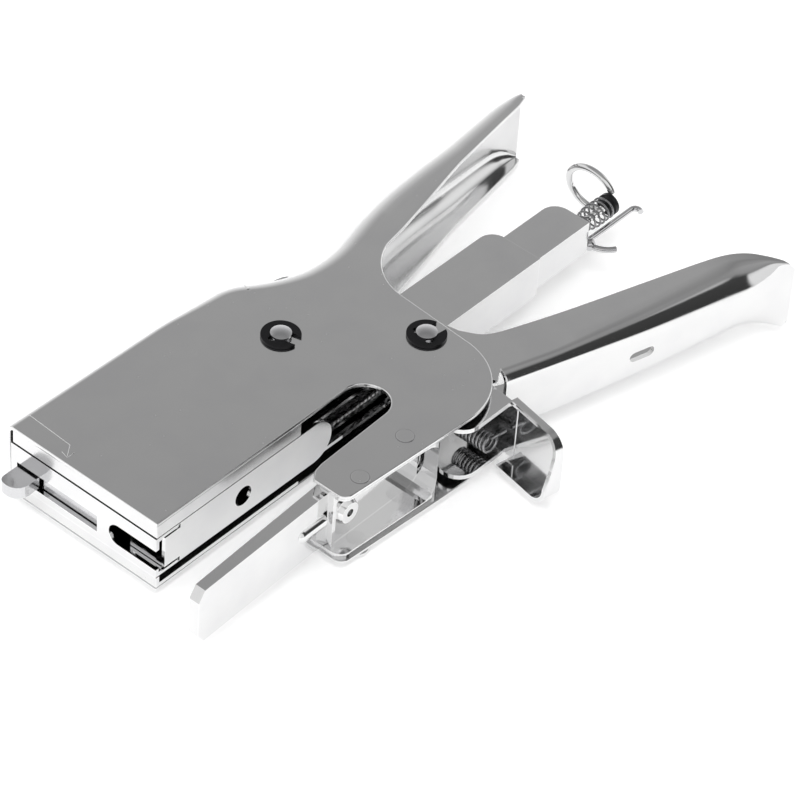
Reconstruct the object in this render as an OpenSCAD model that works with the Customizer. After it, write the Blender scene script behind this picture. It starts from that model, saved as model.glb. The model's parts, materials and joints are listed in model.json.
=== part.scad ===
// Plier stapler, lying on its side: +X runs from the jaw to the handles,
// +Y from the anvil to the upper handle, +Z out of the upper side plate.
// Every outline is written in jaw coordinates: X = 0 a little ahead of the
// nose, Y = 0 at the underside of the magazine, Z = 0 at the lower side plate.

/* [Casing] */
// Overall width over the two side plates
body_w = 25; // [24.6:0.1:25.6]
// Thickness of the casing sheet
sheet = 1.4; // [1.2:0.1:1.4]
// Height of the head of each pivot pin below the lower side plate
head_h = 1.3; // [1.0:0.1:1.6]

/* [Pins] */
// Diameter of the two pivot pins
pin_d = 6; // [5.6:0.1:6]
// Radial running clearance of the parts that turn on the pins
run_gap = 0.05; // [0.03:0.01:0.08]

/* [Magazine] */
// Overall width of the staple magazine
mag_w = 13.8; // [13.6:0.1:14]
// Length of the strip of staples that is loaded
strip_len = 50; // [20:5:50]
// Diameter of the magazine's inspection hole
sight_d = 6.2; // [5:0.1:6.4]

/* [Anvil] */
// Width of the anvil bar
anvil_w = 18.4; // [17.6:0.2:18.6]

/* [Wire parts] */
// Diameter of the pull ring's wire
ring_wire = 2.3; // [1.8:0.1:2.4]
// Radius of the pull ring to the middle of its wire
ring_r = 8; // [7:0.5:8]

/* [Hidden] */

chrome = [0.78, 0.79, 0.81];
steel = [0.62, 0.63, 0.65];
black_oxide = [0.12, 0.12, 0.13];

// Ends of the whole object, which put the origin at the middle of its base
front_x = -4.5;
rear_x = 212.85;
low_y = -57.2;
high_y = 53.8;

// Sheet planes, counted up from the lower side plate
plate_low = sheet;
plate_high = body_w - sheet;
mid_z = 12.2;
mag_low = mid_z - mag_w / 2;
mag_high = mid_z + mag_w / 2;
mag_wall = 1.1;

// Pivot pins
pin_r = pin_d / 2;
front_pin_at = [81, 25.6];
rear_pin_at = [109.3, -2.4];
pin_hole_r = pin_r + run_gap;
groove_r = pin_r - 0.5;
clip_z = body_w + 0.1;
clip_h = 0.7;

// Jaw outline
jaw_x = 4.2;
jaw_top = high_y;
jaw_bottom = -1.1;
throat_r = 7;
throat_x = 77.5;
liner_x = jaw_x + 0.3;
liner_y = jaw_bottom + 0.1;
liner_end = 60;
liner_t = 1.2;
side_gap = 0.35;
anvil_jaw_x = 45.2;
anvil_jaw_y = -30;

// Handle and hammer
arm_gap = 0.3;
arm_t = 1.4;
arm_low = plate_low + arm_gap;
arm_high = plate_high - arm_gap;
rivet_a = [99.5, 39.5];
rivet_b = [84, 43.5];
rivet_reach = 4;
rivet_r = 1.8;
plate_t = 1.3;
hammer_z = 8.65;
spacer_r = 2.6;

// Driver, rail and staples
blade_x = 5.75;
blade_t = 1;
strip_x = 7.7;
crown_w = 11;
wire_t = 0.8;
rail_w = 9.2;
rail_top = 10.5;
rail_wall = 0.8;
core_w = 11.2;
core_top = 14.6;
core_x = 140;
core_end = 185.3;
pusher_x = strip_x + 50.5;
pusher_len = 10;
rod_y = 6.6;
rod_r = 1.1;

// Finger lever
lever_low = 3.4;
lever_high = 21.6;
lever_t = 1.4;
lever_turn = -100.9;
lever_root = [107.7, -33];
tray_low = 1;
tray_high = 24;

function arc(c, r, from, to, n) =
    [for (i = [0 : n]) c + r * [cos(from + (to - from) * i / n), sin(from + (to - from) * i / n)]];
function unit(v) = v / norm(v);

// Wire swept along a list of points, with ref never parallel to its run
module wire(path, r, ref, sides = 8) {
    last = len(path) - 1;
    rings = [for (i = [0 : last])
        let (t = unit(path[min(i + 1, last)] - path[max(i - 1, 0)]))
        let (u = unit(cross(t, ref)))
        let (v = cross(t, u))
        for (k = [0 : sides - 1])
            path[i] + r * (cos(360 * k / sides) * u + sin(360 * k / sides) * v)];
    walls = [for (i = [0 : last - 1], k = [0 : sides - 1], half = [0, 1])
        let (a = i * sides + k)
        let (b = i * sides + (k + 1) % sides)
        half == 0 ? [a, b + sides, b] : [a, a + sides, b + sides]];
    start_cap = [[for (k = [0 : sides - 1]) k]];
    end_cap = [[for (k = [sides - 1 : -1 : 0]) last * sides + k]];
    polyhedron(points = rings, faces = concat(start_cap, walls, end_cap));
}

// A prism drawn in jaw coordinates between two heights
module slab(low, high) {
    translate([0, 0, low])
        linear_extrude(high - low)
            children();
}

// Moves jaw coordinates to the middle of the base of the whole object
module place() {
    translate([-(front_x + rear_x) / 2, -(low_y + high_y) / 2, head_h])
        children();
}

module pin_bore(at, r) {
    translate([at[0], at[1], -5])
        cylinder(h = body_w + 10, r = r, $fn = 48);
}

// ---- Casing -------------------------------------------------------------

// Upper edge of the jaw, shoulder, neck and fixed handle, lowered by d
function spine_line(d) = concat(
    [[jaw_x, jaw_top - d]],
    arc([82, 34.8], 18 - d, 90, 56.2, 6),
    arc([114.3, 83], 40 + d, 236.2, 285, 9),
    [[136, 47.2 - d], [146, 49 - d], [160, 50.3 - d], [181, 51.4 - d], [198, 52.2 - d]]);

function handle_tip() = [[205, 51.4], [209, 49.7], [211, 47.8], [210.6, 46.6]];

// Lower edge of the fixed handle, from its tip to the crotch
function grip_line() = concat(
    [[205, 44.6], [194, 43], [172, 39.6], [150, 34.5]],
    arc([137, 11.8], 19.9, 97, 180, 9));

module casing_outline() {
    polygon(concat(
        spine_line(0),
        handle_tip(),
        grip_line(),
        arc([93.5, -10.7], 22, 0, -92, 14),
        arc([anvil_jaw_x + 3, anvil_jaw_y + 3], 3, -88, -180, 5),
        [[anvil_jaw_x, -18.6], [48, -16.6], [51, -16]],
        arc([throat_x, jaw_bottom - throat_r], throat_r, -90, 90, 12),
        [[jaw_x, jaw_bottom]]));
}

// The sheet is one piece folded along its upper edge, open everywhere else
module casing_hollow() {
    polygon(concat(
        [[jaw_x - 5, jaw_top - sheet]],
        spine_line(sheet),
        [[212, 48.2], [212, 40], [150, 0], [150, -60], [-20, -60], [-20, jaw_top - sheet]]));
}

module fold_layer(low, high, inset) {
    slab(low, high)
        intersection() {
            casing_outline();
            translate([0, -inset])
                polygon(concat(spine_line(0),
                    [[204, 51.7], [214, 46 + inset], [214, -70], [-10, -70], [-10, 0], [0, jaw_top]]));
        }
}

module casing() {
    color(chrome)
        difference() {
            union() {
                fold_layer(0, 0.4, 1.6);
                fold_layer(0.4, 1.2, 0.8);
                fold_layer(1.2, 2.4, 0.3);
                slab(2.4, body_w - 2.4)
                    casing_outline();
                fold_layer(body_w - 2.4, body_w - 1.2, 0.3);
                fold_layer(body_w - 1.2, body_w - 0.4, 0.8);
                fold_layer(body_w - 0.4, body_w, 1.6);
            }
            slab(plate_low, plate_high)
                casing_hollow();
            pin_bore(front_pin_at, pin_hole_r);
            pin_bore(rear_pin_at, pin_hole_r);
            for (at = rivet_places)
                pin_bore(at, flush_r + 0.05);
        }
}

// Sheets that double the walls of the upper jaw, each with a flange across the nose
module liner(low, flange_low, flange_high) {
    slab(low, low + liner_t)
        polygon([[liner_x, liner_y], [liner_end, liner_y], [liner_end, 44], [54, 51], [liner_x, 51.6]]);
    slab(flange_low, flange_high)
        polygon([[liner_x, liner_y], [liner_x + liner_t, liner_y], [liner_x + liner_t, 51.6],
            [liner_x, 51.6]]);
}

module jaw_liner_upper() {
    low = plate_high - liner_t;
    color(chrome)
        union() {
            liner(low, mag_high + side_gap, plate_high);
            // a second flange runs under the jaw
            slab(mag_high + side_gap, plate_high)
                polygon([[liner_x, liner_y], [liner_end, liner_y], [liner_end, liner_y + liner_t],
                    [liner_x, liner_y + liner_t]]);
        }
}

module jaw_liner_lower() {
    color(chrome)
        union()
            liner(plate_low, plate_low, mag_low - side_gap);
}

// ---- Pins and clips -----------------------------------------------------

// Flat head below, a groove for the clip above and a domed end
module pivot_pin(at) {
    translate([at[0], at[1], 0]) {
        translate([0, 0, -head_h])
            cylinder(h = head_h, r = 4.6, $fn = 48);
        cylinder(h = clip_z - 0.05, r = pin_r, $fn = 48);
        cylinder(h = clip_z + clip_h + 0.1, r = groove_r, $fn = 48);
        translate([0, 0, clip_z + clip_h + 0.05])
            cylinder(h = 0.6, r = pin_r, $fn = 48);
        translate([0, 0, clip_z + clip_h + 0.65])
            intersection() {
                cylinder(h = 0.6, r = pin_r, $fn = 48);
                translate([0, 0, -7.5])
                    sphere(r = 8.08, $fn = 64);
            }
    }
}

module front_pin() {
    color(steel)
        pivot_pin(front_pin_at);
}

module rear_pin() {
    color(steel)
        pivot_pin(rear_pin_at);
}

// Open retaining ring, whose gap points along the angle given
module e_clip(at, turn) {
    translate([at[0], at[1], clip_z])
        rotate([0, 0, turn])
            linear_extrude(clip_h)
                difference() {
                    circle(r = 5.65, $fn = 48);
                    circle(r = groove_r + 0.05, $fn = 48);
                    translate([0, -1.95])
                        square([8, 3.9]);
                    for (side = [-1, 1])
                        rotate([0, 0, side * 118])
                            translate([3, 0])
                                circle(r = 1.1, $fn = 24);
                }
}

module e_clips() {
    color(black_oxide) {
        e_clip(front_pin_at, -75);
        e_clip(rear_pin_at, -8);
    }
}

module front_pin_sleeve() {
    color(steel)
        translate([front_pin_at[0], front_pin_at[1], plate_low + 0.1])
            difference() {
                cylinder(h = plate_high - plate_low - 0.2, r = 4.2, $fn = 48);
                translate([0, 0, -1])
                    cylinder(h = body_w, r = pin_r + run_gap, $fn = 48);
            }
}

// Coils on the sleeve, one leg on the magazine and one against a hammer spacer
module return_spring() {
    r = 4.95;
    from = -90;
    to = 16.7 + 3 * 360;
    steps = 52;
    c = [front_pin_at[0], front_pin_at[1], 14];
    foot = [[54, 19.3, c[2]], [64, 19.5, c[2]], [74, 20.2, c[2]]];
    coil = [for (i = [0 : steps])
        let (a = from + (to - from) * i / steps)
        c + [r * cos(a), r * sin(a), 4.4 * i / steps]];
    tip = [80.1, 44.6, c[2] + 4.4];
    color(black_oxide)
        wire(concat(foot, coil, [coil[steps] * 0.5 + tip * 0.5, tip]), 0.55, [0, 0, 1], 8);
}

// ---- Anvil --------------------------------------------------------------

flush_r = 2.5;
rivet_head_r = 3.8;
rivet_places = [[54.4, -26.8], [74.7, -24.8]];
channel_t = 1.4;
channel_rear = 84.8;
channel_corner = 8;
web_low = -24;
web_high = -22.7;

// Each rivet joins one side plate to one wall of the channel
module rivet(at, low, high) {
    translate([at[0], at[1], low])
        cylinder(h = high - low, r = flush_r, $fn = 48);
}

// The upper ones are hammered flush, and the lower ones have heads as high as the pins'
module side_rivets() {
    color(chrome)
        for (at = rivet_places) {
            rivet(at, plate_high - channel_t, body_w + 0.12);
            rivet(at, -head_h, plate_low + channel_t);
            translate([at[0], at[1], -head_h])
                cylinder(h = head_h, r = rivet_head_r, $fn = 48);
        }
}

module channel_side() {
    polygon(concat(
        arc([anvil_jaw_x + 4, anvil_jaw_y + 4.2], 3.4, 180, 270, 5),
        arc([80.5, -26.6], 4.4, -90, 60, 8),
        [[80, -20.6], [anvil_jaw_x + 0.6, -20.6]]));
}

// Plan of the channel's rounded rear end, inset by d
module end_plan(d) {
    corner = channel_corner - d;
    low = plate_low + d;
    high = plate_high - d;
    rear = channel_rear - d;
    polygon(concat(
        [[60, high], [60, low]],
        arc([rear - corner, low + corner], corner, -90, 0, 8),
        arc([rear - corner, high - corner], corner, 0, 90, 8)));
}

// The walls join round the rear, below the web
module channel_end() {
    intersection() {
        slab(plate_low, plate_high)
            channel_side();
        translate([0, web_high, 0])
            rotate([90, 0, 0])
                linear_extrude(10)
                    difference() {
                        end_plan(0);
                        end_plan(channel_t);
                    }
    }
}

module anvil_channel() {
    color(chrome)
        difference() {
            union() {
                slab(plate_low, plate_low + channel_t)
                    channel_side();
                slab(plate_high - channel_t, plate_high)
                    channel_side();
                slab(plate_low, plate_high)
                    polygon([[anvil_jaw_x + 1, web_low - 1.2], [anvil_jaw_x + 2.2, web_low - 1.2],
                        [anvil_jaw_x + 3.2, web_low], [82, web_low], [82, web_high],
                        [anvil_jaw_x + 1.6, web_high]]);
                channel_end();
            }
            for (at = rivet_places, low = [0, plate_high - channel_t])
                translate([at[0], at[1], low])
                    cylinder(h = plate_low + channel_t, r = flush_r + 0.05, $fn = 48);
            translate([52.8, web_low - 2, mid_z])
                rotate([-90, 0, 0])
                    cylinder(h = 5, r = 2.05, $fn = 32);
        }
}

bead_x = 37.4;
bead_y = -21.8;
bead_r = 2.3;
bead_len = 8.4;

// Side view of the bar: it rises and thickens a little towards its root
module anvil_side() {
    polygon([[front_x, -21], [48, -18.2], [62, -18.2], [62, web_high], [46, web_high],
        [44, -22.7], [0, -24.2], [front_x, -24.4]]);
}

// Plan view of the bar, with both corners of its tip cut off
module anvil_plan(low, high) {
    polygon([[front_x, low + 3.2], [front_x + 2.4, low], [62, low], [62, high],
        [front_x + 2.4, high], [front_x, high - 3.2]]);
}

module anvil_bar() {
    low = mid_z - anvil_w / 2;
    high = mid_z + anvil_w / 2;
    color(chrome)
        difference() {
            union() {
                intersection() {
                    slab(low - 1, high + 1)
                        anvil_side();
                    rotate([90, 0, 0])
                        linear_extrude(30)
                            anvil_plan(low, high);
                }
                // bead that stiffens the root
                translate([bead_x, bead_y, mid_z])
                    rotate([0, 90, 0])
                        cylinder(h = bead_len, r = bead_r, $fn = 32);
                translate([bead_x, bead_y, mid_z])
                    sphere(r = bead_r, $fn = 32);
            }
            translate([52.8, -30, mid_z])
                rotate([-90, 0, 0])
                    cylinder(h = 20, r = 2.05, $fn = 32);
        }
}

// Hollow rivet that holds the bar to the channel
module anvil_stud() {
    color(chrome)
        translate([52.8, web_low - 1.6, mid_z])
            rotate([-90, 0, 0])
                difference() {
                    union() {
                        cylinder(h = 1.6, r1 = 3.2, r2 = 4, $fn = 48);
                        cylinder(h = 7.6, r = 2, $fn = 48);
                        translate([0, 0, 7.4])
                            cylinder(h = 0.6, r = 3, $fn = 48);
                    }
                    translate([0, 0, -1])
                        cylinder(h = 3.4, r = 1.2, $fn = 32);
                }
}

// ---- Lower handle and hammer --------------------------------------------

function back_line(d) = [[211.5, -57 + d], [206.5, -54.6 + d], [200, -52 + d], [191, -49.5 + d],
    [177.5, -46.3 + d], [160, -42 + d], [144, -37.5 + d], [131, -33.7 + d], [117, -29.2 + d]];

module handle_side() {
    polygon(concat(
        [[116.6, 2], [118.6, -6.2], [121.5, -11.2], [125, -13.9], [132, -16.8], [144, -21.2],
            [156.4, -25.3], [172.3, -30.4], [188.3, -35.6], [197, -38.9], [203, -42.6],
            [206.8, -46.5], [209.8, -50.8], [211.6, -54.6], [211.8, -57.2]],
        back_line(0),
        [[110.4, -27], [106.6, -20], [102.6, -8]]));
}

// The forward arm, from the rear pin up to the two hammer rivets
module handle_arm() {
    polygon(concat(
        [[101.2, -1], [103.2, 14], [101.6, 26], [99.9, 33.6]],
        [[97.6, 37.4], [95, 39.4], [89, 40.2]],
        arc(rivet_b, rivet_reach, 268, 80, 14),
        arc(rivet_a, rivet_reach, 78, 12, 5),
        [[107, 32], [111.5, 19], [117, 3]]));
}

module lower_handle() {
    color(chrome)
        difference() {
            union() {
                slab(arm_low, arm_high)
                    handle_side();
                for (low = [arm_low, arm_high - arm_t]) {
                    slab(low, low + arm_t)
                        handle_arm();
                    translate([rear_pin_at[0], rear_pin_at[1], low])
                        cylinder(h = arm_t, r = 8.5, $fn = 64);
                }
            }
            slab(arm_low + arm_t, arm_high - arm_t)
                polygon(concat(
                    [[216, 60], [216, -60 + 4]],
                    back_line(1.45),
                    [[112.3, -26.2], [112.3, -40], [70, -40], [70, 60]]));
            pin_bore(rear_pin_at, pin_hole_r);
            pin_bore(rivet_a, rivet_r + 0.03);
            pin_bore(rivet_b, rivet_r + 0.03);
            // hanging slot in the back of the handle
            translate([157, -38, mid_z])
                rotate([90, 0, -15])
                    hanging_slot();
        }
}

module hanging_slot() {
    translate([-2.6, -1.6, -2])
        cube([5.2, 3.2, 10]);
    for (end = [-1, 1])
        translate([end * 2.6, 0, -2])
            cylinder(h = 10, r = 1.6, $fn = 32);
}

module hammer_side() {
    polygon(concat(
        arc([0.7, 46.2], 4.2, 180, 270, 5),
        [[8, 42.4], [20, 40.4], [60, 36.2], [82, 35.6], [92, 39.4], [95.8, 38.6]],
        arc(rivet_a, rivet_reach, 226, 440, 14),
        arc(rivet_b, rivet_reach + 0.6, 84, 100, 3),
        [[70, 50], [14, 50.2], [9, 49.4]],
        arc([-1.3, 47.3], 2.1, 90, 180, 4)));
}

module hammer_plate(i) {
    color(steel)
        difference() {
            slab(hammer_z + i * plate_t + 0.02, hammer_z + (i + 1) * plate_t)
                hammer_side();
            pin_bore(rivet_a, rivet_r + 0.03);
            pin_bore(rivet_b, rivet_r + 0.03);
        }
}

module hammer_plate_lower() {
    hammer_plate(0);
}

module hammer_plate_middle() {
    hammer_plate(1);
}

module hammer_plate_upper() {
    hammer_plate(2);
}

module hammer_rivets() {
    color(steel)
        for (at = [rivet_a, rivet_b])
            translate([at[0], at[1], arm_low])
                cylinder(h = arm_high - arm_low, r = rivet_r, $fn = 32);
}

module spacer(at, low, high) {
    translate([at[0], at[1], low])
        difference() {
            cylinder(h = high - low, r = spacer_r, $fn = 32);
            translate([0, 0, -1])
                cylinder(h = high - low + 2, r = rivet_r + 0.03, $fn = 32);
        }
}

module hammer_spacers() {
    color(steel)
        for (at = [rivet_a, rivet_b]) {
            spacer(at, arm_low + arm_t, hammer_z);
            spacer(at, hammer_z + 3 * plate_t, arm_high - arm_t);
        }
}

// ---- Magazine -----------------------------------------------------------

slit_len = 7;
slit_w = 0.7;
housing_top = 18.3;
housing_end = 161.8;

module housing_side() {
    polygon(concat(
        [[jaw_x + 1.2, 0], [jaw_x + 1.2, 52.1], [20, 52.1], [24, 48], [24.6, 22]],
        arc([28.3, 22], 3.7, 180, 270, 5),
        arc([housing_end - 5, housing_top - 5], 5, 90, 0, 8),
        [[housing_end, 0.3], [118, 0.3], [117, 0]]));
}

module magazine_housing() {
    color(chrome)
        difference() {
            union() {
                slab(mag_low, mag_high)
                    housing_side();
                translate([rear_pin_at[0], rear_pin_at[1], mag_low])
                    cylinder(h = mag_w, r = 6.2, $fn = 48);
            }
            slab(mag_low + mag_wall, mag_high - mag_wall)
                polygon([[0, -20], [118, -20], [118, 1.3], [170, 1.3], [170, 14.8],
                    [161.2, 14.8], [158.3, housing_top - 1.1], [29, housing_top - 1.1],
                    [25.5, housing_top + 0.6], [25.5, 60], [0, 60]]);
            pin_bore(rear_pin_at, pin_hole_r);
        }
}

// Front wall of the magazine, with the hammer's slot and the sight notch
module nose_plate() {
    color(chrome)
        difference() {
            translate([jaw_x, -1, mag_low])
                cube([1.2, 53.1, mag_w]);
            translate([jaw_x - 1, 20.3, 7.8])
                cube([4, 29.6, 5.6]);
            translate([jaw_x - 1, -2, 8])
                cube([4, 14.6, 6.8]);
            translate([jaw_x - 1, 12.6, 11.4])
                rotate([0, 90, 0])
                    cylinder(h = 4, r = 3.4, $fn = 48);
        }
}

module magazine_base() {
    color(chrome)
        difference() {
            union() {
                translate([jaw_x + 1.2, -1, mag_low])
                    cube([60.5, 1, mag_w]);
                translate([jaw_x + 61.7, -1, mid_z])
                    rotate([-90, 0, 0])
                        cylinder(h = 1, r = mag_w / 2, $fn = 64);
            }
            translate([37.8, -3, mid_z])
                rotate([-90, 0, 0])
                    cylinder(h = 5, r = sight_d / 2, $fn = 48);
            // staple exit under the driver blade
            translate([jaw_x + 0.2, -3, mid_z - 5.5])
                cube([3.2, 5, 11]);
            // hooked slits beside the corner where the base meets the nose
            for (side = [-1, 1]) {
                translate([jaw_x + 2.2, -3, mid_z + side * 5.6 - slit_w / 2])
                    cube([slit_len, 5, slit_w]);
                translate([jaw_x + 2.2 + slit_len - slit_w, -3, mid_z + side * 6 - 0.6])
                    cube([slit_w, 5, 1.2]);
            }
        }
}

// Inverted channel under the staples, widening into the square tail
module staple_rail() {
    low = mid_z - rail_w / 2;
    high = mid_z + rail_w / 2;
    core_low = mid_z - core_w / 2;
    core_high = mid_z + core_w / 2;
    color(chrome)
        difference() {
            union() {
                translate([strip_x, 2.2, low])
                    cube([core_x - strip_x + 1, rail_top - 2.2, rail_w]);
                slab(core_low, core_high)
                    polygon(concat(
                        [[core_x, 1.4], [core_x, core_top]],
                        arc([core_end - 5, core_top - 5], 5, 90, 0, 8),
                        [[core_end, 1.4]]));
            }
            translate([strip_x - 1, 0, low + rail_wall])
                cube([core_x - strip_x + 1, rail_top - 0.9, rail_w - 2 * rail_wall]);
            slab(core_low + 0.9, core_high - 0.9)
                polygon([[core_x + 1, 2.3], [core_x + 1, core_top - 0.9], [core_end - 5.5, core_top - 0.9],
                    [core_end - 0.9, core_top - 5.5], [core_end - 0.9, 2.3]]);
            translate([core_x - 5, rod_y, mid_z])
                rotate([0, 90, 0])
                    cylinder(h = 60, r = rod_r + 0.3, $fn = 32);
        }
}

// Staples glued side by side, as one strip
module staple_strip() {
    color(steel)
        difference() {
            translate([strip_x, 0.3, mid_z - crown_w / 2])
                cube([strip_len, 11.1, crown_w]);
            translate([strip_x - 1, 0, mid_z - crown_w / 2 + wire_t])
                cube([strip_len + 2, 11.4 - wire_t, crown_w - 2 * wire_t]);
        }
}

// Bent wire catch at the end of the tail
module latch_wire() {
    z = 5.8;
    hook = [210.3, 3.3];
    run = concat(
        [[core_end + 0.1, 4.9, z + 1.4], [187.6, 4.9, z + 0.9], [190.4, 4.9, z + 0.2],
            [196, 4.9, z], [204, 4.9, z]],
        [for (a = [90 : -22.5 : -45]) [hook[0] + 1.6 * cos(a), hook[1] + 1.6 * sin(a), z]]);
    foot = [for (a = [176 : 11 : 242]) [196.6 + 7.6 * cos(a), 3.3 + 7.6 * sin(a), z + 0.2]];
    color(steel) {
        wire(run, 0.95, [0, 0, 1], 10);
        wire(foot, 0.9, [0, 0, 1], 10);
        translate([189.3, 3.4, z + 0.2])
            sphere(r = 1.9, $fn = 32);
    }
}

// ---- Driver -------------------------------------------------------------

module driver_blade() {
    color(steel)
        difference() {
            translate([blade_x, 18.6, mid_z - 5.3])
                cube([blade_t, 33.4, 10.6]);
            translate([blade_x - 1, 41.4, 8.2])
                cube([4, 9.6, 4.8]);
        }
}

// ---- Pusher -------------------------------------------------------------

module staple_pusher() {
    color(steel)
        difference() {
            union() {
                difference() {
                    translate([pusher_x, 1, mid_z - crown_w / 2])
                        cube([pusher_len, 10.4, crown_w]);
                    translate([pusher_x - 1, 1.8, mid_z - crown_w / 2 + wire_t - 0.15])
                        cube([pusher_len + 2, 9.1, crown_w - 2 * wire_t + 0.3]);
                }
                translate([pusher_x + 1, 1.4, mid_z - 3.1])
                    cube([pusher_len - 2, 7.6, 6.2]);
            }
            translate([pusher_x - 1, rod_y, mid_z])
                rotate([0, 90, 0])
                    cylinder(h = pusher_len + 2, r = rod_r + 0.03, $fn = 32);
        }
}

ring_x = 203;

// One wire: the rod through the magazine and the ring at its end
module pusher_rod() {
    color(steel) {
        translate([pusher_x + 1.2, rod_y, mid_z])
            rotate([0, 90, 0])
                cylinder(h = ring_x - pusher_x - 1.2, r = rod_r, $fn = 32);
        translate([ring_x, rod_y + ring_r, mid_z])
            rotate([0, 90, 0])
                rotate_extrude($fn = 96)
                    translate([ring_r, 0])
                        circle(r = ring_wire / 2, $fn = 32);
    }
}

function barrel_r(s) = 2.1 + 2.6 * sin(min(s * 150, 110));

module rod_spring() {
    start = core_end + 1.2;
    run = 13.6;
    turns = 7;
    color(black_oxide)
        wire([for (i = [0 : 98])
            let (s = i / 98)
            [start + run * s, rod_y + barrel_r(s) * cos(360 * turns * s),
                mid_z + barrel_r(s) * sin(360 * turns * s)]],
            0.4, [1, 0, 0], 6);
}

module rod_collar() {
    color(black_oxide)
        translate([200.4, rod_y, mid_z])
            rotate([0, 90, 0])
                difference() {
                    cylinder(h = 1.4, r = 3.4, $fn = 32);
                    translate([0, 0, -1])
                        cylinder(h = 4, r = rod_r + 0.03, $fn = 32);
                }
}

module feed_spring() {
    start = pusher_x + pusher_len + 0.6;
    run = core_x - 0.6 - start;
    turns = 22;
    color(steel)
        wire([for (i = [0 : 264])
            [start + run * i / 264, rod_y + 2 * cos(360 * turns * i / 264),
                mid_z + 2 * sin(360 * turns * i / 264)]],
            0.3, [1, 0, 0], 6);
}

// ---- Finger lever -------------------------------------------------------

module lever_cheek() {
    polygon(concat(
        [[103.6, -5], [98, -14], [91.4, -22.6]],
        arc([94.6, -28], 6, 150, 270, 8),
        [[107.6, -34], [108.6, -26], [109.9, -19.4], [114.8, -5]]));
    translate(rear_pin_at)
        circle(r = 6, $fn = 48);
}

// Rounded-end plate across the lever, from local x0, between two heights
module tray_plate(x0, x1, low, high, r) {
    translate([x0, low])
        square([x1 - r - x0, high - low]);
    translate([x0, low + r])
        square([x1 - x0, high - low - 2 * r]);
    for (z = [low + r, high - r])
        translate([x1 - r, z])
            circle(r = r, $fn = 48);
}

module tray_prism(y0, y1) {
    translate([0, y1, 0])
        rotate([90, 0, 0])
            linear_extrude(y1 - y0)
                children();
}

module finger_lever() {
    color(chrome)
        difference() {
            union() {
                slab(lever_low, lever_low + lever_t)
                    lever_cheek();
                slab(lever_high - lever_t, lever_high)
                    lever_cheek();
                slab(lever_low, lever_high)
                    polygon([[108.1, -26], [107.2, -34], [106.6, -37.5], [108, -37.6], [108.6, -34],
                        [109.5, -26], [110.7, -19.4], [109.3, -19.4]]);
                translate([lever_root[0], lever_root[1], 0])
                    rotate([0, 0, lever_turn])
                        difference() {
                            tray_prism(-4.4, 1.2)
                                tray_plate(2.5, 22.9, tray_low, tray_high, 6);
                            tray_prism(-6, 0)
                                tray_plate(-5, 21.7, tray_low + 1.2, tray_high - 1.2, 4.8);
                            // the rim is highest on its lower side
                            rotate([90, 0, 90])
                                linear_extrude(30)
                                    polygon([[-0.9, 26], [-0.9, 23.4], [-2.6, 14], [-4.5, 7], [-7, 7],
                                        [-7, 26]]);
                        }
            }
            pin_bore(rear_pin_at, pin_hole_r);
        }
}

// Coil in front of the lever's web, with one leg along the anvil channel
module lever_spring() {
    r = 2.5;
    turns = 9;
    c = [101, -23, 10.2];
    coil = [for (i = [0 : 90])
        let (a = 90 + 360 * turns * i / 90)
        c + [r * cos(a), -11 * i / 90, r * sin(a)]];
    leg = [[76, -21.9, c[2] + r], [86, -21.9, c[2] + r], [94, -22.2, c[2] + r]];
    foot = [[104.8, -34.4, c[2] + r], [106, -34.6, c[2] + r]];
    color(black_oxide)
        wire(concat(leg, coil, foot), 0.5, [0.05, 1, 0.05], 6);
}

place() casing();
place() jaw_liner_upper();
place() jaw_liner_lower();
place() front_pin();
place() rear_pin();
place() e_clips();
place() front_pin_sleeve();
place() return_spring();
place() side_rivets();
place() anvil_channel();
place() anvil_bar();
place() anvil_stud();
place() lower_handle();
place() hammer_plate_upper();
place() hammer_plate_middle();
place() hammer_plate_lower();
place() hammer_rivets();
place() hammer_spacers();
place() magazine_housing();
place() nose_plate();
place() magazine_base();
place() staple_rail();
place() staple_strip();
place() latch_wire();
place() driver_blade();
place() staple_pusher();
place() pusher_rod();
place() rod_spring();
place() rod_collar();
place() feed_spring();
place() finger_lever();
place() lever_spring();
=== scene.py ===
"""Plier stapler: the visible surfaces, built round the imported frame."""

import json
import math

import bmesh
import bpy
from mathutils import Matrix, Vector


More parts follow.
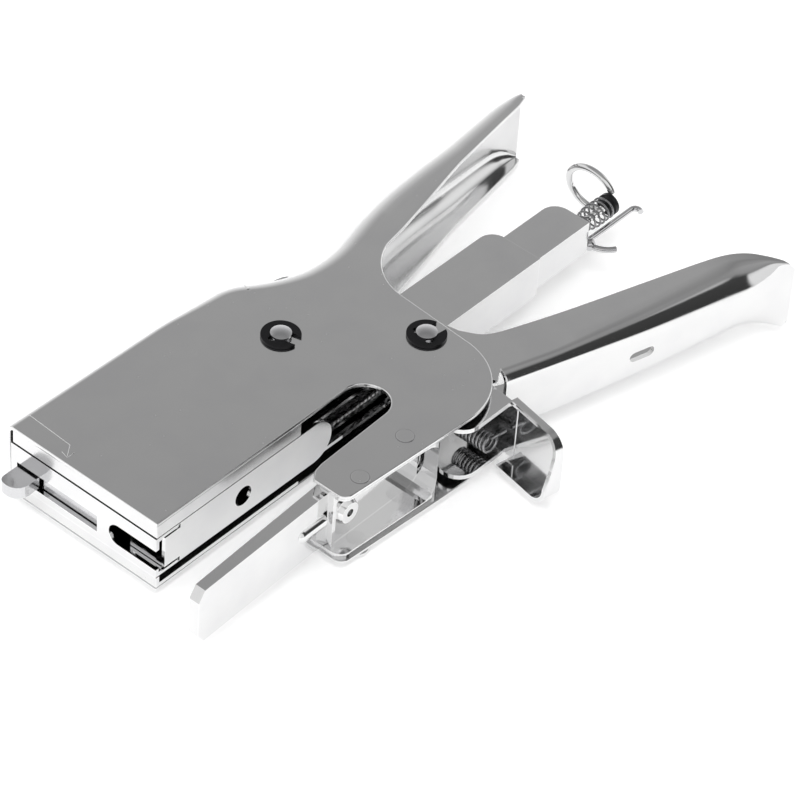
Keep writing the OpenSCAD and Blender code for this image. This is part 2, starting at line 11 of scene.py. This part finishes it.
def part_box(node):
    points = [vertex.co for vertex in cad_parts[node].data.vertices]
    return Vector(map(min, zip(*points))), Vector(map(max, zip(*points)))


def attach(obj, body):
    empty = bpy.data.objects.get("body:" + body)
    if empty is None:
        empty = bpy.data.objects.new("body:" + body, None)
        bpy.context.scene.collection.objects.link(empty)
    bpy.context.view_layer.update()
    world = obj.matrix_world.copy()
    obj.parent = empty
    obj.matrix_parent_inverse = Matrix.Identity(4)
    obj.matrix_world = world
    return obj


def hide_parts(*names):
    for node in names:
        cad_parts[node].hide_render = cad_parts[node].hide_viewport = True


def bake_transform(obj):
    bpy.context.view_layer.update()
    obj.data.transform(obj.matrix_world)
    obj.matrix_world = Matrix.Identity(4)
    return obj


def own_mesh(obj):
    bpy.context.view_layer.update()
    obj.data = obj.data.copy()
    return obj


MM = 0.001
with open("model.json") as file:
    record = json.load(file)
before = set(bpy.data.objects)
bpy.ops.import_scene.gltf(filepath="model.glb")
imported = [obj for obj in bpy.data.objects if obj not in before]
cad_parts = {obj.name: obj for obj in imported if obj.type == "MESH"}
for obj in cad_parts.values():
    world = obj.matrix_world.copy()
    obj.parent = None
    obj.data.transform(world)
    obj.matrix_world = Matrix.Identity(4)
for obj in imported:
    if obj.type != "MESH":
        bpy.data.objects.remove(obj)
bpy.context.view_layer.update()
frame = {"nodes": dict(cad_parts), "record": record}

# Jaw coordinates, in mm: X = 0 a little ahead of the nose, Y = 0 at the underside of the
# magazine and Z = 0 at the lower side plate. The casing's box places them in the frame.
CASING_LOW, CASING_HIGH = (Vector(corner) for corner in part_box("casing"))
CASING_FRONT = 4.2
CASING_BACK = 53.8
ORIGIN = Vector((CASING_LOW.x - CASING_FRONT * MM, CASING_HIGH.y - CASING_BACK * MM, CASING_LOW.z))

MID_Z = 12.2
REAR_PIN = (109.3, -2.4)
FRONT_PIN = (81.0, 25.6)


def at(x, y, z):
    return ORIGIN + Vector((x, y, z)) * MM


# ---- Materials ----------------------------------------------------------

CLOUD_SCALE = 70
GRAIN_SCALE = 1400
SPECK_SCALE = 260
GRAIN_DEPTH = 0.02 * MM
WEAR_WIDTH = 0.5 * MM


def metal(name, color, rough, smudge=0.05, grain=0.04, stretch=(1, 1, 1), bump=0.06, specks=0.0):
    """Plated metal: cloudy roughness, fine drawn grain, worn edges and a few dust specks."""
    mat = bpy.data.materials.new(name)
    mat.use_nodes = True
    tree = mat.node_tree
    nodes, links = tree.nodes, tree.links
    shader = nodes["Principled BSDF"]
    shader.inputs["Metallic"].default_value = 1.0
    place = nodes.new("ShaderNodeTexCoord")

    cloud = nodes.new("ShaderNodeTexNoise")
    cloud.inputs["Scale"].default_value = CLOUD_SCALE
    cloud.inputs["Detail"].default_value = 4
    links.new(place.outputs["Object"], cloud.inputs["Vector"])

    scale = nodes.new("ShaderNodeMapping")
    scale.inputs["Scale"].default_value = stretch
    fine = nodes.new("ShaderNodeTexNoise")
    fine.inputs["Scale"].default_value = GRAIN_SCALE
    fine.inputs["Detail"].default_value = 3
    links.new(place.outputs["Object"], scale.inputs["Vector"])
    links.new(scale.outputs["Vector"], fine.inputs["Vector"])

    def ramp(source, low, high, out_low, out_high):
        step = nodes.new("ShaderNodeMapRange")
        step.inputs["From Min"].default_value = low
        step.inputs["From Max"].default_value = high
        step.inputs["To Min"].default_value = out_low
        step.inputs["To Max"].default_value = out_high
        links.new(source, step.inputs["Value"])
        return step.outputs["Result"]

    def add(a, b):
        total = nodes.new("ShaderNodeMath")
        total.operation = "ADD"
        total.use_clamp = True
        links.new(a, total.inputs[0])
        links.new(b, total.inputs[1])
        return total.outputs["Value"]

    cloudy = ramp(cloud.outputs["Fac"], 0.35, 0.7, rough, rough + smudge)
    grainy = ramp(fine.outputs["Fac"], 0.45, 0.8, 0.0, grain)
    roughness = add(cloudy, grainy)

    # edges rub lighter, and clouds of a thin film darken the rest
    shape = nodes.new("ShaderNodeNewGeometry")
    rounded = nodes.new("ShaderNodeBevel")
    rounded.samples = 4
    rounded.inputs["Radius"].default_value = WEAR_WIDTH
    facing = nodes.new("ShaderNodeVectorMath")
    facing.operation = "DOT_PRODUCT"
    links.new(rounded.outputs["Normal"], facing.inputs[0])
    links.new(shape.outputs["Normal"], facing.inputs[1])
    wear = ramp(facing.outputs["Value"], 0.999, 0.95, 0.35, 1.0)
    tint = nodes.new("ShaderNodeMix")
    tint.data_type = "RGBA"
    tint.inputs["A"].default_value = (*[c * 0.9 for c in color], 1)
    tint.inputs["B"].default_value = (*[min(1.0, c * 1.08) for c in color], 1)
    links.new(wear, tint.inputs["Factor"])
    film = nodes.new("ShaderNodeMix")
    film.data_type = "RGBA"
    film.blend_type = "MULTIPLY"
    film.inputs["B"].default_value = (0.93, 0.93, 0.94, 1)
    links.new(ramp(cloud.outputs["Fac"], 0.4, 0.75, 0.0, 0.8), film.inputs["Factor"])
    links.new(tint.outputs["Result"], film.inputs["A"])
    colour = film.outputs["Result"]

    if specks:
        dots = nodes.new("ShaderNodeTexVoronoi")
        dots.inputs["Scale"].default_value = SPECK_SCALE
        links.new(place.outputs["Object"], dots.inputs["Vector"])
        spot = ramp(dots.outputs["Distance"], 0.03, 0.06, specks, 0.0)
        roughness = add(roughness, spot)

    bumps = nodes.new("ShaderNodeBump")
    bumps.inputs["Strength"].default_value = bump
    bumps.inputs["Distance"].default_value = GRAIN_DEPTH
    links.new(fine.outputs["Fac"], bumps.inputs["Height"])
    links.new(bumps.outputs["Normal"], shader.inputs["Normal"])
    links.new(colour, shader.inputs["Base Color"])
    links.new(roughness, shader.inputs["Roughness"])
    return mat


MATERIALS = {
    "nickel_plate": metal("nickel_plate", (0.8, 0.8, 0.8), 0.13, 0.05, 0.03, specks=0.3),
    "bright_plate": metal("bright_plate", (0.8, 0.8, 0.8), 0.07, 0.05, 0.03),
    "bare_steel": metal("bare_steel", (0.66, 0.66, 0.67), 0.15, 0.08, 0.08, (8, 1, 1), 0.12),
    "black_oxide": metal("black_oxide", (0.035, 0.035, 0.037), 0.3, 0.1, 0.1, bump=0.2),
    "spring_wire": metal("spring_wire", (0.3, 0.3, 0.305), 0.2, 0.08, 0.06, (1, 8, 1), 0.15),
}
ENGRAVING = metal("engraving", (0.9, 0.9, 0.9), 0.35, 0.1, 0.1)
SLOT_OF = {part["node"]: part["material_slot"] for part in frame["record"]["subparts"]}


def paint(obj, slot):
    obj.data.materials.clear()
    obj.data.materials.append(MATERIALS[slot])


def finish_edges(obj, width, angle=38, segments=2, clamp=True):
    """Rounds the edges that are sharper than angle, width mm wide, and evens the shading."""
    bevel = obj.modifiers.new("edges", "BEVEL")
    bevel.width = width * MM
    bevel.segments = segments
    bevel.limit_method = "ANGLE"
    bevel.angle_limit = math.radians(angle)
    bevel.use_clamp_overlap = clamp
    even = obj.modifiers.new("normals", "WEIGHTED_NORMAL")
    even.keep_sharp = False
    even.weight = 100


def piece(name, mesh, body, slot, *nodes):
    """A new piece on a body, or on none, in place of those CAD nodes."""
    obj = bpy.data.objects.new(name, mesh)
    bpy.context.scene.collection.objects.link(obj)
    paint(obj, slot)
    if body:
        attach(obj, body)
    if nodes:
        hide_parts(*nodes)
    return obj


def mesh_of(name, build, smooth=40):
    """A mesh from what build draws, shaded smooth but for edges sharper than smooth degrees."""
    bm = bmesh.new()
    build(bm)
    bmesh.ops.remove_doubles(bm, verts=bm.verts, dist=1e-6)
    bmesh.ops.recalc_face_normals(bm, faces=bm.faces)
    mesh = bpy.data.meshes.new(name)
    bm.to_mesh(mesh)
    bm.free()
    for face in mesh.polygons:
        face.use_smooth = True
    mesh.set_sharp_from_angle(angle=math.radians(smooth))
    return mesh


def evaluated_mesh(obj):
    """The mesh that an object shows once its curve or modifiers are worked out."""
    bpy.context.view_layer.update()
    graph = bpy.context.evaluated_depsgraph_get()
    return bpy.data.meshes.new_from_object(obj.evaluated_get(graph))


# ---- Outlines -----------------------------------------------------------


def arc(cx, cy, r, start, end, count):
    """Points of an arc from start to end degrees, in count steps."""
    turns = [math.radians(start + (end - start) * i / count) for i in range(count + 1)]
    return [(cx + r * math.cos(t), cy + r * math.sin(t)) for t in turns]


def smooth_line(points, count=6):
    """A curve through the points, with count steps between each two."""
    pts = [Vector(p) for p in points]
    pts = [pts[0] * 2 - pts[1]] + pts + [pts[-1] * 2 - pts[-2]]
    line = []
    for a, b, c, d in zip(pts, pts[1:], pts[2:], pts[3:]):
        for i in range(count):
            t = i / count
            line.append(
                0.5 * (2 * b + (c - a) * t + (2 * a - 5 * b + 4 * c - d) * t * t
                       + (3 * b - a - 3 * c + d) * t ** 3)
            )
    line.append(pts[-2])
    return [tuple(p) for p in line]


def height_at(line, x):
    """Y of a line that runs along X, at x."""
    pts = sorted(line)
    if x <= pts[0][0]:
        return pts[0][1]
    for (x0, y0), (x1, y1) in zip(pts, pts[1:]):
        if x <= x1:
            return y0 + (y1 - y0) * (x - x0) / (x1 - x0) if x1 > x0 else y1
    return pts[-1][1]


def part_way(x, start, end):
    """0 before start, 1 past end, and rising evenly between them."""
    return min(max((x - start) / (end - start), 0), 1)


def inward(line, side):
    """Unit normals of a line, on the side given as +1 (left of its run) or -1."""
    found = []
    for i in range(len(line)):
        a, b = Vector(line[max(i - 1, 0)]), Vector(line[min(i + 1, len(line) - 1)])
        run = (b - a).normalized()
        found.append(Vector((-run.y, run.x)) * side)
    return found


FOLD_STEPS = 7
WALL_STEPS = 4
TIGHTEST_FOLD = 0.25
LEAST_WALL = 0.3


def folded_sheet(bm, spine, side, radius, free_line, first, rest, low, high, thick, shift=None):
    """A sheet bent into a channel: its back follows the spine, and a side wall stands at each
    of the heights low and high. Radius gives the fold at each x, and side says which way the
    walls go. From spine point number first on, they run to free_line; before it, the points
    in rest close their outline. Shift may move each point."""
    normals = inward(spine, side)
    shift = shift or (lambda x, y, z: (x, y, z))

    def fold_at(x, depth):
        return max(radius(x) - depth, TIGHTEST_FOLD)

    def vert(p):
        return bm.verts.new(at(*shift(*p)))

    def shell(depth):
        grid = []
        for (x, y), n in zip(spine, normals):
            bow = fold_at(x, depth)
            halves = []
            for wall, turn in ((high - depth, 1), (low + depth, -1)):
                half = []
                for k in range(FOLD_STEPS + 1):
                    t = math.pi / 2 * k / FOLD_STEPS
                    inset = depth + bow * (1 - math.sin(t))
                    z = wall - turn * bow * (1 - math.cos(t))
                    half.append(vert((x + n.x * inset, y + n.y * inset, z)))
                halves.append(half)
            grid.append(halves[0] + halves[1][::-1])
        walls = []
        for edge, wall in ((0, high - depth), (-1, low + depth)):
            strips = []
            for i in range(first, len(spine)):
                (x, y), n = spine[i], normals[i]
                inset = depth + fold_at(x, depth)
                px, py = x + n.x * inset, y + n.y * inset
                ty = height_at(free_line, px)
                ty = max(ty, py + LEAST_WALL) if n.y > 0 else min(ty, py - LEAST_WALL)
                strips.append([grid[i][edge]] + [
                    vert((px, py + (ty - py) * k / WALL_STEPS, wall))
                    for k in range(1, WALL_STEPS + 1)
                ])
            walls.append((edge, strips, [vert((x, y, wall)) for x, y in rest]))
        return grid, walls

    outer, inner = shell(0), shell(thick)
    for (grid, walls), out in ((outer, True), (inner, False)):

        def face(*corners):
            bm.faces.new(corners if out else corners[::-1])

        for a, b in zip(grid, grid[1:]):
            for k in range(len(a) - 1):
                face(a[k], b[k], b[k + 1], a[k + 1])
        for edge, strips, closing in walls:
            for a, b in zip(strips, strips[1:]):
                for k in range(WALL_STEPS):
                    face(a[k], b[k], b[k + 1], a[k + 1])
            face(*[row[edge] for row in grid[: first + 1]], *strips[0][1:], *closing)

    def stitch(a, b):
        for a0, a1, b0, b1 in zip(a, a[1:], b, b[1:]):
            bm.faces.new((a0, a1, b1, b0))

    for row in (0, -1):
        stitch(outer[0][row], inner[0][row])
    for (edge, strips, closing), (_, strips_in, closing_in) in zip(outer[1], inner[1]):
        rim = [s[-1] for s in strips]
        rim_in = [s[-1] for s in strips_in]
        stitch(strips[-1], strips_in[-1])
        stitch(rim, rim_in)
        front, front_in = outer[0][0][edge], inner[0][0][edge]
        stitch([rim[0], *closing, front], [rim_in[0], *closing_in, front_in])


# ---- Casing -------------------------------------------------------------

SHEET = 1.4
PLATE_TOP = 25
SPINE = (
    [(CASING_FRONT + (78 - CASING_FRONT) * i / 16, CASING_BACK - i / 16) for i in range(17)]
    + arc(82, 34.8, 18, 90, 56.2, 8)
    + arc(114.3, 83, 40, 236.2, 285, 16)
    + smooth_line([(128, 45.2), (136, 47.2), (146, 49), (160, 50.3), (181, 51.4), (198, 52.2),
                   (204, 51.7), (208, 50.4), (210.6, 48.6)], 5)
)
GRIP = [(211, 46.4), (205, 44.6), (194, 43), (172, 39.6), (150, 34.5), (138, 31.9), (130, 30.4)]
CROTCH = arc(137, 11.8, 19.9, 108, 180, 14)
LOWER_JAW = (
    arc(93.5, -10.7, 22, 0, -92, 18)
    + arc(48.2, -27, 3, -88, -180, 6)
    + [(45.2, -18.6), (48, -16.6), (51, -16)]
    + arc(77.5, -8.1, 7, -90, 90, 18)
    + [(CASING_FRONT, -1.1)]
)

JAW_FOLD = 2.6
GRIP_FOLD = 7.8
GRIP_X = 150
GRIP_SHARE = 0.72
TIP_FOLD = 0.9


def fold_radius(x):
    """Tight over the jaw and wide along the grip, as far as the grip has room for it."""
    wide = JAW_FOLD + (GRIP_FOLD - JAW_FOLD) * part_way(x, 62, 107)
    if x > GRIP_X:
        room = height_at(SPINE, x) - height_at(GRIP, x)
        wide = min(wide, max(room * GRIP_SHARE, TIP_FOLD))
    return wide


def build_casing(bm):
    first = next(i for i, (x, _) in enumerate(SPINE) if x > 136)
    jaw = CROTCH + LOWER_JAW
    folded_sheet(bm, SPINE, -1, fold_radius, GRIP, first, jaw, 0, PLATE_TOP, SHEET)


casing = piece("casing_shell", mesh_of("casing_shell", build_casing), "root", "nickel_plate", "casing")
finish_edges(casing, 0.42, segments=3, clamp=False)

# ---- Lower handle -------------------------------------------------------

BACK = smooth_line([(113.5, -28), (117, -29.2), (131, -33.7), (144, -37.5), (160, -42), (177.5, -46.3),
                    (191, -49.5), (200, -52), (206.5, -54.4), (210.4, -56)], 5)
FREE = smooth_line([(118.6, -6.2), (121.5, -11.2), (125, -13.9), (132, -16.8), (144, -21.2), (156.4, -25.3),
                    (172.3, -30.4), (188.3, -35.6), (197, -38.9), (203, -42.6), (206.8, -46.5),
                    (210, -50.8), (211.8, -54)], 4)
ARM = (
    [(117, 3), (111.5, 19), (107, 32)]
    + arc(99.5, 39.5, 4, 12, 78, 5)
    + arc(84, 43.5, 4, 80, 268, 12)
    + [(89, 40.2), (95, 39.4), (97.6, 37.4), (99.9, 33.6), (101.6, 26), (103.2, 14), (101.2, -1)]
    + arc(*REAR_PIN, 8.5, 170, 215, 4)
    + [(106.6, -20), (110.4, -27)]
)


def handle_radius(x):
    """Grows toward the palm, and tightens again where the handle runs out to its tip."""
    wide = 3.8 + 5 * part_way(x, 130, 195)
    room = height_at(FREE, x) - height_at(BACK, x)
    share = 0.66 - 0.26 * part_way(x, 194, 208)
    return min(wide, max(room * share, 0.8))


ARM_LOW = 1.7
ARM_HIGH = 23.3
TONGUE = 7.4


def flared(x, y, z):
    """The last stretch opens like the mouth of a bell and ends in a round tongue."""
    far = part_way(x, 188, 212) ** 2
    side = (z - (ARM_LOW + ARM_HIGH) / 2) / ((ARM_HIGH - ARM_LOW) / 2)
    opening = 1.7 if side > 0 else 0.3
    return x - TONGUE * far * side ** 2, y - 0.3 * far, z + opening * far * side


def build_handle(bm):
    first = next(i for i, (x, _) in enumerate(BACK) if x > 134)
    neck = [p for p in FREE if p[0] < 132][::-1]
    arm = neck + ARM
    folded_sheet(bm, BACK, 1, handle_radius, FREE, first, arm, ARM_LOW, ARM_HIGH, SHEET, flared)


handle_mesh = mesh_of("squeeze_handle", build_handle)
handle = piece("squeeze_handle", handle_mesh, "handle", "bright_plate", "lower_handle")


def build_slot(bm):
    """A prism with round ends through the back of the handle."""
    along, out = Vector((0.97, -0.26, 0)), Vector((-0.26, -0.97, 0))
    half, r, reach = 2.6, 1.6, 3
    ends = arc(half, 0, r, -90, 90, 8) + arc(-half, 0, r, 90, 270, 8)
    rings = []
    for depth in (-reach, reach):
        base = Vector((157, -41.3, MID_Z)) + out * depth
        rings.append([bm.verts.new(at(*(base + along * u + Vector((0, 0, v))))) for u, v in ends])
    for a, b, c, d in zip(rings[0], rings[0][1:] + rings[0][:1], rings[1][1:] + rings[1][:1], rings[1]):
        bm.faces.new((a, b, c, d))
    bm.faces.new(rings[0])
    bm.faces.new(rings[1])


def cut(obj, build):
    """Cuts the built solid out of a piece."""
    cutter = bpy.data.objects.new("cutter", mesh_of("cutter", build))
    bpy.context.scene.collection.objects.link(cutter)
    hole = obj.modifiers.new("hole", "BOOLEAN")
    hole.operation = "DIFFERENCE"
    hole.object = cutter
    mesh = evaluated_mesh(obj)
    obj.modifiers.remove(hole)
    obj.data = mesh
    bpy.data.objects.remove(cutter)


cut(handle, build_slot)
finish_edges(handle, 0.28)

# ---- Wires and springs --------------------------------------------------


def wire(name, paths, r, body, slot, *nodes, cyclic=False, sides=5):
    """Round wire of radius r along each of the paths, as one mesh piece."""
    curve = bpy.data.curves.new(name, "CURVE")
    curve.dimensions = "3D"
    curve.bevel_depth = r * MM
    curve.bevel_resolution = sides
    curve.use_fill_caps = True
    for path in paths:
        spline = curve.splines.new("POLY")
        spline.points.add(len(path) - 1)
        for point, p in zip(spline.points, path):
            point.co = (*at(*p), 1)
        spline.use_cyclic_u = cyclic
        spline.use_smooth = True
    drawn = bpy.data.objects.new(name + "_path", curve)
    bpy.context.scene.collection.objects.link(drawn)
    mesh = evaluated_mesh(drawn)
    bpy.data.objects.remove(drawn)
    mesh.name = name
    return piece(name, mesh, body, slot, *nodes)


def helix(centre, axis, turns, run, radius, steps, start=0.0):
    """Points of a coil about a line through centre; radius is a number or a rule of 0..1."""
    rule = radius if callable(radius) else (lambda s: radius)
    points = []
    for i in range(steps + 1):
        s = i / steps
        a = math.radians(start) + 2 * math.pi * turns * s
        u, v, w = rule(s) * math.cos(a), rule(s) * math.sin(a), run * s
        if axis == "x":
            points.append((centre[0] + w, centre[1] + u, centre[2] + v))
        elif axis == "y":
            points.append((centre[0] + u, centre[1] + w, centre[2] + v))
        else:
            points.append((centre[0] + u, centre[1] + v, centre[2] + w))
    return points


ROD_Y = 6.6
RING_X = 203.0
RING_R = 8.0
RING_TURN = 338
RING_STEPS = 48
RING_EGG = 0.9
RING_FLAT = 0.94


def ring_path():
    """The rod turns up into a slightly open, egg-shaped loop."""
    loop = []
    for i in range(RING_STEPS + 1):
        a = math.radians(-90 + RING_TURN * i / RING_STEPS)
        x = RING_X + RING_EGG * math.sin(math.radians(360 * i / RING_STEPS))
        y = ROD_Y + RING_R + RING_R * math.sin(a)
        loop.append((x, y, MID_Z - RING_R * RING_FLAT * math.cos(a)))
    rod = [(60, ROD_Y, MID_Z), (120, ROD_Y, MID_Z), (196, ROD_Y, MID_Z), (200.5, ROD_Y, MID_Z)]
    return rod + loop[1:]


wire("pull_ring", [ring_path()], 1.13, "pusher", "bright_plate", "pusher_rod", sides=6)


def barrel(s):
    """Radius of the barrel spring, thin at the tail and full near the ring."""
    return 1.6 + 1.8 * math.sin(math.radians(min(s * 150, 110)))


barrel_path = helix((186.5, ROD_Y, MID_Z), "x", 7, 13.6, barrel, 280)
wire("barrel_spring", [barrel_path], 0.31, "pusher", "spring_wire", "rod_spring", sides=4)

FEED_X = 68.8
FEED_LENGTH = 70.6
feed_path = helix((FEED_X, ROD_Y, MID_Z), "x", 22, FEED_LENGTH, 2.0, 528)
long_spring = wire(
    "long_spring", [feed_path], 0.3, "magazine", "spring_wire", "feed_spring", sides=3
)
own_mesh(long_spring)

lower_leg = [(54, 19.3, 14), (64, 19.5, 14), (74, 20.2, 14)]
coil = helix((*FRONT_PIN, 14), "z", 3 + 106.7 / 360, 4.4, 4.95, 120, -90)
upper_leg = [(79.2 + 0.9 * i / 8, 31 + 13.6 * i / 8, 18.4) for i in range(1, 9)]
main_spring = wire(
    "main_spring", [lower_leg + coil + upper_leg], 0.55, None, "spring_wire", "return_spring", sides=4
)
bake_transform(main_spring)

front_leg = [(76, -21.9, 12.7), (86, -21.9, 12.7), (94, -22.2, 12.7)]
dark_coil = helix((101, -23, 10.2), "y", 9, -11, 2.5, 90, 90)
rear_leg = [(104.8, -34.4, 12.7), (106, -34.6, 12.7)]
lever_coil = wire(
    "lever_coil", [front_leg + dark_coil + rear_leg], 0.5, None, "spring_wire", "lever_spring", sides=4
)
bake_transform(lever_coil)

CATCH_Y = 4.9
CATCH_Z = 5.8
catch = smooth_line([(185.4, CATCH_Y, 7.2), (187.6, CATCH_Y, 6.7), (190.4, CATCH_Y, 6),
                     (196, CATCH_Y, CATCH_Z), (204, CATCH_Y, CATCH_Z), (209.6, CATCH_Y, CATCH_Z)], 4)
catch += [(x, y, CATCH_Z) for x, y in arc(210.3, 3.3, 1.6, 90, -45, 8)]
hook = [(x, y, CATCH_Z + 0.2) for x, y in arc(196.6, 3.3, 7.6, 176, 242, 10)]
wire("catch_wire", [catch, hook], 0.93, "magazine", "bare_steel", "latch_wire")


def build_knot(bm):
    """The catch's wire is twisted into a knot beside the tail."""
    ball = bmesh.ops.create_uvsphere(bm, u_segments=24, v_segments=14, radius=1.9 * MM)
    bmesh.ops.translate(bm, verts=ball["verts"], vec=at(189.3, 3.4, 6.0))


piece("catch_knot", mesh_of("catch_knot", build_knot), "magazine", "bare_steel", "latch_wire")

# ---- Marks on the upper side plate --------------------------------------


def on_plate(points):
    """Points of a drawing on the top face of the upper side plate."""
    return [(x, y, PLATE_TOP) for x, y in points]


edge_line = on_plate([(10.7, 52.2), (10.3, 44), (9.9, 35.9)])
arrow_shaft = on_plate([(9.9, 35.9), (6.4, 33.4)])
arrow_head = on_plate([(8.6, 33.0), (5.9, 33.0), (6.6, 35.6)])
lines = [edge_line, arrow_shaft, arrow_head]
marks = wire("scribed_marks", lines, 0.1, "root", "nickel_plate", sides=2)
marks.data.materials.clear()
marks.data.materials.append(ENGRAVING)
rings = [on_plate(arc(x, y, 2.55, 0, 352, 44)) for x, y in ((54.4, -26.8), (74.7, -24.8))]
wire("rivet_rims", rings, 0.13, "root", "spring_wire", cyclic=True, sides=2)

# ---- CAD nodes that stay ------------------------------------------------

# Widths in mm of the rounded edges
EDGE = {
    "driver_blade": 0.1, "staple_strip": 0.1,
    "nose_plate": 0.3, "magazine_base": 0.25, "magazine_housing": 0.52, "staple_rail": 0.42,
    "anvil_bar": 0.55, "anvil_channel": 0.25, "finger_lever": 0.35, "e_clips": 0.12,
    "front_pin": 0.2, "rear_pin": 0.2, "anvil_stud": 0.3, "side_rivets": 0.05,
    "hammer_plate_upper": 0.22, "hammer_plate_middle": 0.22, "hammer_plate_lower": 0.22,
}
USUAL_EDGE = 0.15
replaced = {
    "casing", "lower_handle", "pusher_rod", "rod_spring", "feed_spring", "return_spring",
    "lever_spring", "latch_wire",
}
for node, obj in frame["nodes"].items():
    paint(obj, SLOT_OF[node])
    if node not in replaced:
        finish_edges(obj, EDGE.get(node, USUAL_EDGE), segments=3)

# ---- Floor, light and camera --------------------------------------------


def plain(name, color, rough, glow):
    """A matt surface with a little light of its own, like a light table."""
    mat = bpy.data.materials.new(name)
    mat.use_nodes = True
    shader = mat.node_tree.nodes["Principled BSDF"]
    shader.inputs["Base Color"].default_value = (*color, 1)
    shader.inputs["Roughness"].default_value = rough
    shader.inputs["Emission Color"].default_value = (1, 1, 1, 1)
    shader.inputs["Emission Strength"].default_value = glow
    return mat


FLOOR_HALF = 2.2
FLOOR_GAP = 0.05 * MM
FLOOR_GLOW = 0.28

bm = bmesh.new()
bmesh.ops.create_grid(bm, x_segments=2, y_segments=2, size=FLOOR_HALF)
floor_mesh = bpy.data.meshes.new("floor")
bm.to_mesh(floor_mesh)
bm.free()
floor = bpy.data.objects.new("floor", floor_mesh)
floor.location.z = -FLOOR_GAP
floor_mesh.materials.append(plain("floor_white", (0.9, 0.9, 0.9), 0.9, FLOOR_GLOW))
bpy.context.scene.collection.objects.link(floor)

world = bpy.data.worlds.new("studio")
world.use_nodes = True
bpy.context.scene.world = world
tree = world.node_tree
look = tree.nodes.new("ShaderNodeTexCoord")
axes = tree.nodes.new("ShaderNodeSeparateXYZ")
tree.links.new(look.outputs["Generated"], axes.inputs["Vector"])


def sky_math(operation, a, b=0.0):
    node = tree.nodes.new("ShaderNodeMath")
    node.operation = operation
    for socket, value in zip(node.inputs, (a, b)):
        if isinstance(value, (int, float)):
            socket.default_value = value
        else:
            tree.links.new(value, socket)
    return node.outputs["Value"]


def sky_step(value, low, high, start=0.0, end=1.0):
    node = tree.nodes.new("ShaderNodeMapRange")
    node.interpolation_type = "SMOOTHSTEP"
    for name, number in (("From Min", low), ("From Max", high), ("To Min", start), ("To Max", end)):
        node.inputs[name].default_value = number
    tree.links.new(value, node.inputs["Value"])
    return node.outputs["Result"]


def sky_ramp(stops):
    node = tree.nodes.new("ShaderNodeValToRGB")
    tree.links.new(axes.outputs["Z"], node.inputs["Fac"])
    points = node.color_ramp.elements
    for i, (height, value) in enumerate(stops):
        point = points[i] if i < 2 else points.new(height)
        point.position, point.color = height, (value, value, value, 1)
    return node.outputs["Color"]


def toward(degrees):
    """Cosine of the angle, in plan, between a direction of the sky and this bearing."""
    x = sky_math("MULTIPLY", axes.outputs["X"], math.cos(math.radians(degrees)))
    y = sky_math("MULTIPLY", axes.outputs["Y"], math.sin(math.radians(degrees)))
    level = sky_math("SUBTRACT", 1.0, sky_math("POWER", axes.outputs["Z"], 2.0))
    return sky_math("DIVIDE", sky_math("ADD", x, y), sky_math("SQRT", sky_math("MAXIMUM", level, 0.01)))


def sky_mix(factor, a, b):
    node = tree.nodes.new("ShaderNodeMix")
    node.data_type = "RGBA"
    tree.links.new(factor, node.inputs["Factor"])
    tree.links.new(a, node.inputs["A"])
    tree.links.new(b, node.inputs["B"])
    return node.outputs["Result"]


# pale walls, a grey one behind the object and one dark screen to its right; each ramp
# runs from the horizon to the zenith
BEHIND = 38
SCREEN = -66
around = sky_ramp(((0.0, 0.9), (1.0, 0.4), (0.6, 0.95), (0.72, 0.85), (0.8, 0.3)))
behind = sky_ramp(((0.0, 1.05), (1.0, 0.36), (0.3, 0.8), (0.55, 0.48), (0.67, 0.38), (0.86, 0.27)))
screen = sky_ramp(((0.0, 0.045), (1.0, 0.06)))
across = sky_step(toward(SCREEN), 0.9, 0.96)
from_floor = sky_step(axes.outputs["Z"], 0.02, 0.1)
below_top = sky_step(axes.outputs["Z"], 0.74, 0.88, 1.0, 0.0)
up_to = sky_math("MULTIPLY", from_floor, below_top)
walls = sky_mix(sky_step(toward(BEHIND), 0.5, 0.9), around, behind)
sky = sky_mix(sky_math("MULTIPLY", across, up_to), walls, screen)
tree.links.new(sky, tree.nodes["Background"].inputs["Color"])


def softbox(name, place, size, power):
    """A square lamp aimed at the object, not seen in reflections."""
    data = bpy.data.lights.new(name, "AREA")
    data.shape = "SQUARE"
    data.size = size
    data.energy = power
    obj = bpy.data.objects.new(name, data)
    obj.location = place
    obj.rotation_euler = (-Vector(place)).to_track_quat("-Z", "Y").to_euler()
    obj.visible_glossy = False
    bpy.context.scene.collection.objects.link(obj)


softbox("top_light", (-0.2, -0.1, 1.6), 1.6, 16)
softbox("front_light", (-0.9, -1.1, 1.2), 1.0, 4)
softbox("left_light", (-1.2, 0.9, 1.1), 1.0, 4)

# The camera's place in jaw coordinates, its direction and the tilt of its picture
EYE = (-573.08, -533.78, 784.69)
VIEW = Vector((0.58137, 0.45914, -0.67172)).normalized()
level = VIEW.cross(Vector((0, 0, 1))).normalized()
upright = level.cross(VIEW)
ROLL = math.radians(4.3)
right = math.cos(ROLL) * level + math.sin(ROLL) * upright
up = math.cos(ROLL) * upright - math.sin(ROLL) * level
camera_data = bpy.data.cameras.new("camera")
camera_data.lens = 189.9
camera_data.sensor_width = 36
camera_data.clip_start = 0.05
camera_data.clip_end = 20
camera = bpy.data.objects.new("camera", camera_data)
turn = Matrix((right, up, -VIEW)).transposed().to_4x4()
camera.matrix_world = Matrix.Translation(at(*EYE)) @ turn
bpy.context.scene.collection.objects.link(camera)
bpy.context.scene.camera = camera
bpy.context.scene.view_settings.view_transform = "Standard"
